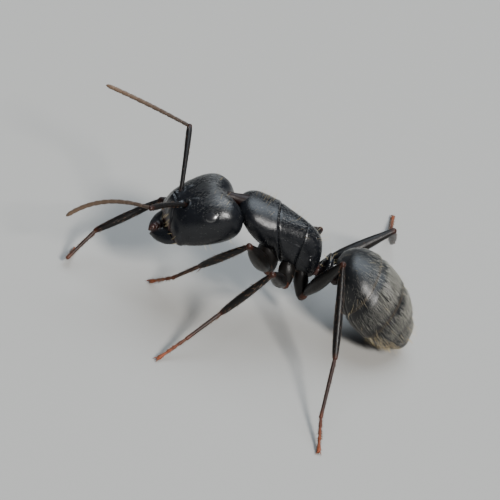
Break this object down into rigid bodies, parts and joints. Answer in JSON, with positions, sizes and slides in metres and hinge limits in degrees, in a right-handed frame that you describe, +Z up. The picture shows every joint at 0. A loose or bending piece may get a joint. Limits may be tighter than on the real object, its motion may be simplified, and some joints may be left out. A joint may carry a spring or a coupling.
{
  "type": "carpenter ant",
  "caption": "Life-size still model of a black carpenter ant worker, standing with its head turned to its left and its hind body bent down.",
  "frame": {"origin": "centre of the bounding box's bottom face, on the floor the ant stands on", "axes": "+Z up, the ant's trunk points along -Y, its left side is +X"},
  "size_m": [0.0182, 0.0146, 0.0065],
  "materials": {
    "shell": "satin black shell",
    "eye": "glossy black eye",
    "limb": "dark brown-black limb shell",
    "joint": "red-brown joint and foot shell",
    "hair": "pale golden hair"
  },
  "bodies": {
    "root": {"head": "shell", "mandible_left": "shell", "mandible_right": "shell", "pronotum": "shell", "mesothorax": "shell", "propodeum": "shell", "petiole": "shell", "gaster_1": "shell", "gaster_2": "shell", "gaster_3": "shell", "gaster_4": "shell", "gaster_5": "shell", "eye_left": "eye", "eye_right": "eye", "neck": "joint", "scape_left": "limb", "flagellum_left": "joint", "coxa_fore_left": "limb", "trochanter_fore_left": "joint", "femur_fore_left": "limb", "tibia_fore_left": "limb", "tarsus_fore_left": "joint", "coxa_mid_left": "limb", "trochanter_mid_left": "joint", "femur_mid_left": "limb", "tibia_mid_left": "limb", "tarsus_mid_left": "joint", "coxa_hind_left": "limb", "trochanter_hind_left": "joint", "femur_hind_left": "limb", "tibia_hind_left": "limb", "tarsus_hind_left": "joint", "scape_right": "limb", "flagellum_right": "joint", "coxa_fore_right": "limb", "trochanter_fore_right": "joint", "femur_fore_right": "limb", "tibia_fore_right": "limb", "tarsus_fore_right": "joint", "coxa_mid_right": "limb", "trochanter_mid_right": "joint", "femur_mid_right": "limb", "tibia_mid_right": "limb", "tarsus_mid_right": "joint", "coxa_hind_right": "limb", "trochanter_hind_right": "joint", "femur_hind_right": "limb", "tibia_hind_right": "limb", "tarsus_hind_right": "joint"}
  },
  "joints": []
}
